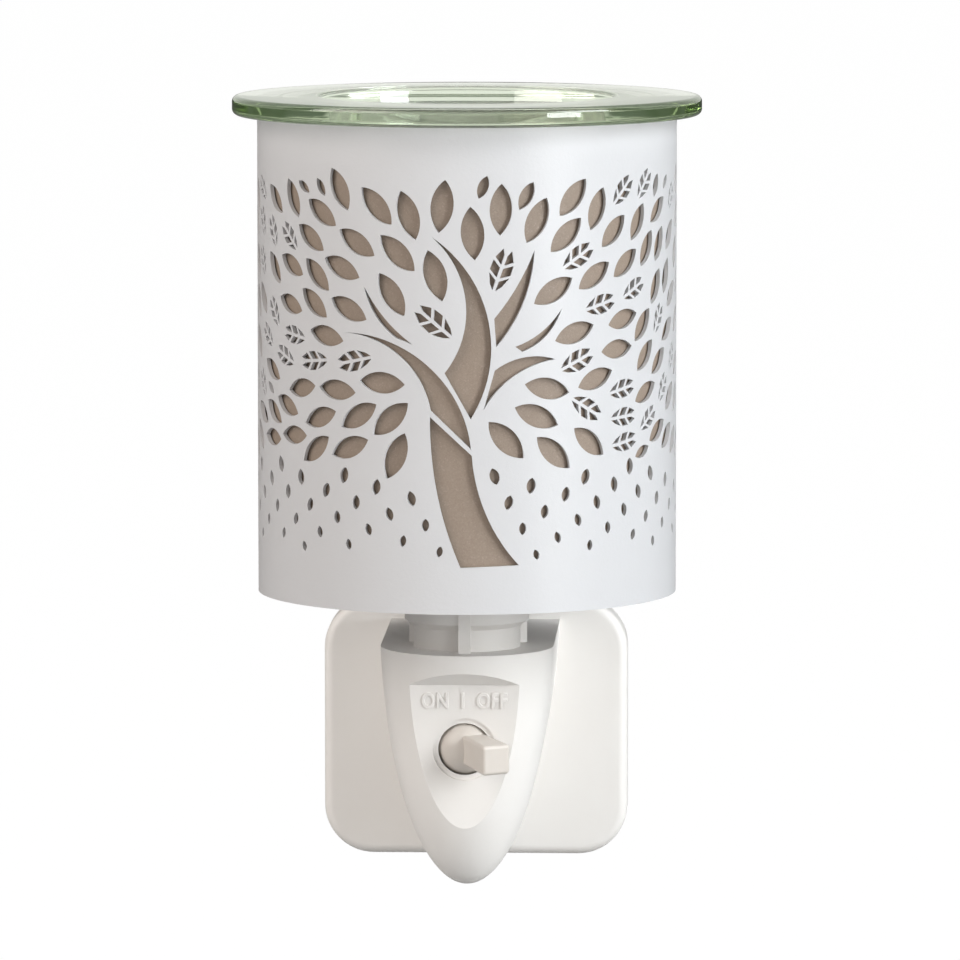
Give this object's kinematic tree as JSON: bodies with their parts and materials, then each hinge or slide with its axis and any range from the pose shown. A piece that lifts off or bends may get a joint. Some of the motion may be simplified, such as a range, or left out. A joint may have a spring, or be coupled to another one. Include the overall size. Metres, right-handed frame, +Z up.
{
  "type": "plug-in wax melt warmer",
  "caption": "Plug-in wax melt warmer: glass dish on a cut-out tree shade over a small lamp, carried by a wall-plug body with a toggle switch.",
  "frame": {"origin": "centre of the wall plate's back face, which lies on the socket", "axes": "+Z up, +Y into the wall along the pins, +X to the right seen from the front"},
  "size_m": [0.0918, 0.1186, 0.1566],
  "materials": {
    "dish_glass": "clear pressed glass with a green edge",
    "shade_paint": "white satin paint on sheet steel",
    "liner_sheet": "tan speckled heat-proof sheet",
    "white_plastic": "white moulded plastic, soft gloss",
    "switch_plastic": "off-white moulded plastic",
    "inner_plastic": "plain moulded plastic",
    "sleeve_plastic": "dark insulating plastic",
    "contact_brass": "bright brass",
    "pin_brass": "polished brass",
    "zinc_steel": "zinc plated steel",
    "cap_metal": "thin rolled aluminium",
    "lamp_glass": "thin clear glass",
    "dark_glass": "dark insulating glass",
    "solder": "dull solder",
    "tungsten": "fine wire",
    "wire_brown": "brown wire insulation",
    "wire_blue": "blue wire insulation"
  },
  "bodies": {
    "base": {"shade": "shade_paint", "liner": "liner_sheet", "shade_floor": "shade_paint", "shade_ring": "white_plastic", "lampholder": "white_plastic", "lampholder_nut": "zinc_steel", "screw_shell": "contact_brass", "centre_contact": "contact_brass", "base_housing": "white_plastic", "back_cover": "white_plastic", "cover_screws": "zinc_steel", "line_pin": "pin_brass", "neutral_pin": "pin_brass", "earth_pin": "switch_plastic", "pin_sleeves": "sleeve_plastic", "switch_body": "inner_plastic", "toggle_pivot": "zinc_steel", "switch_terminals": "contact_brass", "line_wire": "wire_brown", "switched_wire": "wire_brown", "neutral_wire": "wire_blue"},
    "dish": {"glass_dish": "dish_glass"},
    "toggle": {"toggle_lever": "switch_plastic", "switch_wiper": "contact_brass"},
    "bulb_contact": {"bulb_tip": "solder"},
    "bulb": {"bulb_glass": "lamp_glass", "bulb_cap": "cap_metal", "bulb_insulator": "dark_glass", "bulb_stem": "lamp_glass", "bulb_filament": "tungsten"}
  },
  "joints": [
    {"name": "dish_lift", "type": "slide", "parent": "base", "child": "dish", "axis": [0, 0, 1], "range_m": [0, 0.05]},
    {"name": "toggle_throw", "type": "hinge", "parent": "base", "child": "toggle", "pos_m": [0, -0.05792, 0.00344], "axis": [0, 0.061, -0.9981], "range_deg": [0, 50]},
    {"name": "bulb_rise", "type": "slide", "parent": "base", "child": "bulb_contact", "axis": [0, 0, 1], "range_m": [0, 0.0085]},
    {"name": "bulb_turn", "type": "hinge", "parent": "bulb_contact", "child": "bulb", "pos_m": [0, -0.05, 0.045], "axis": [0, 0, 1], "range_deg": [0, 1080]}
  ],
  "couplings": [
    {"joint": "bulb_rise", "follows": "bulb_turn", "m_per_rad": 0.00044913}
  ]
}
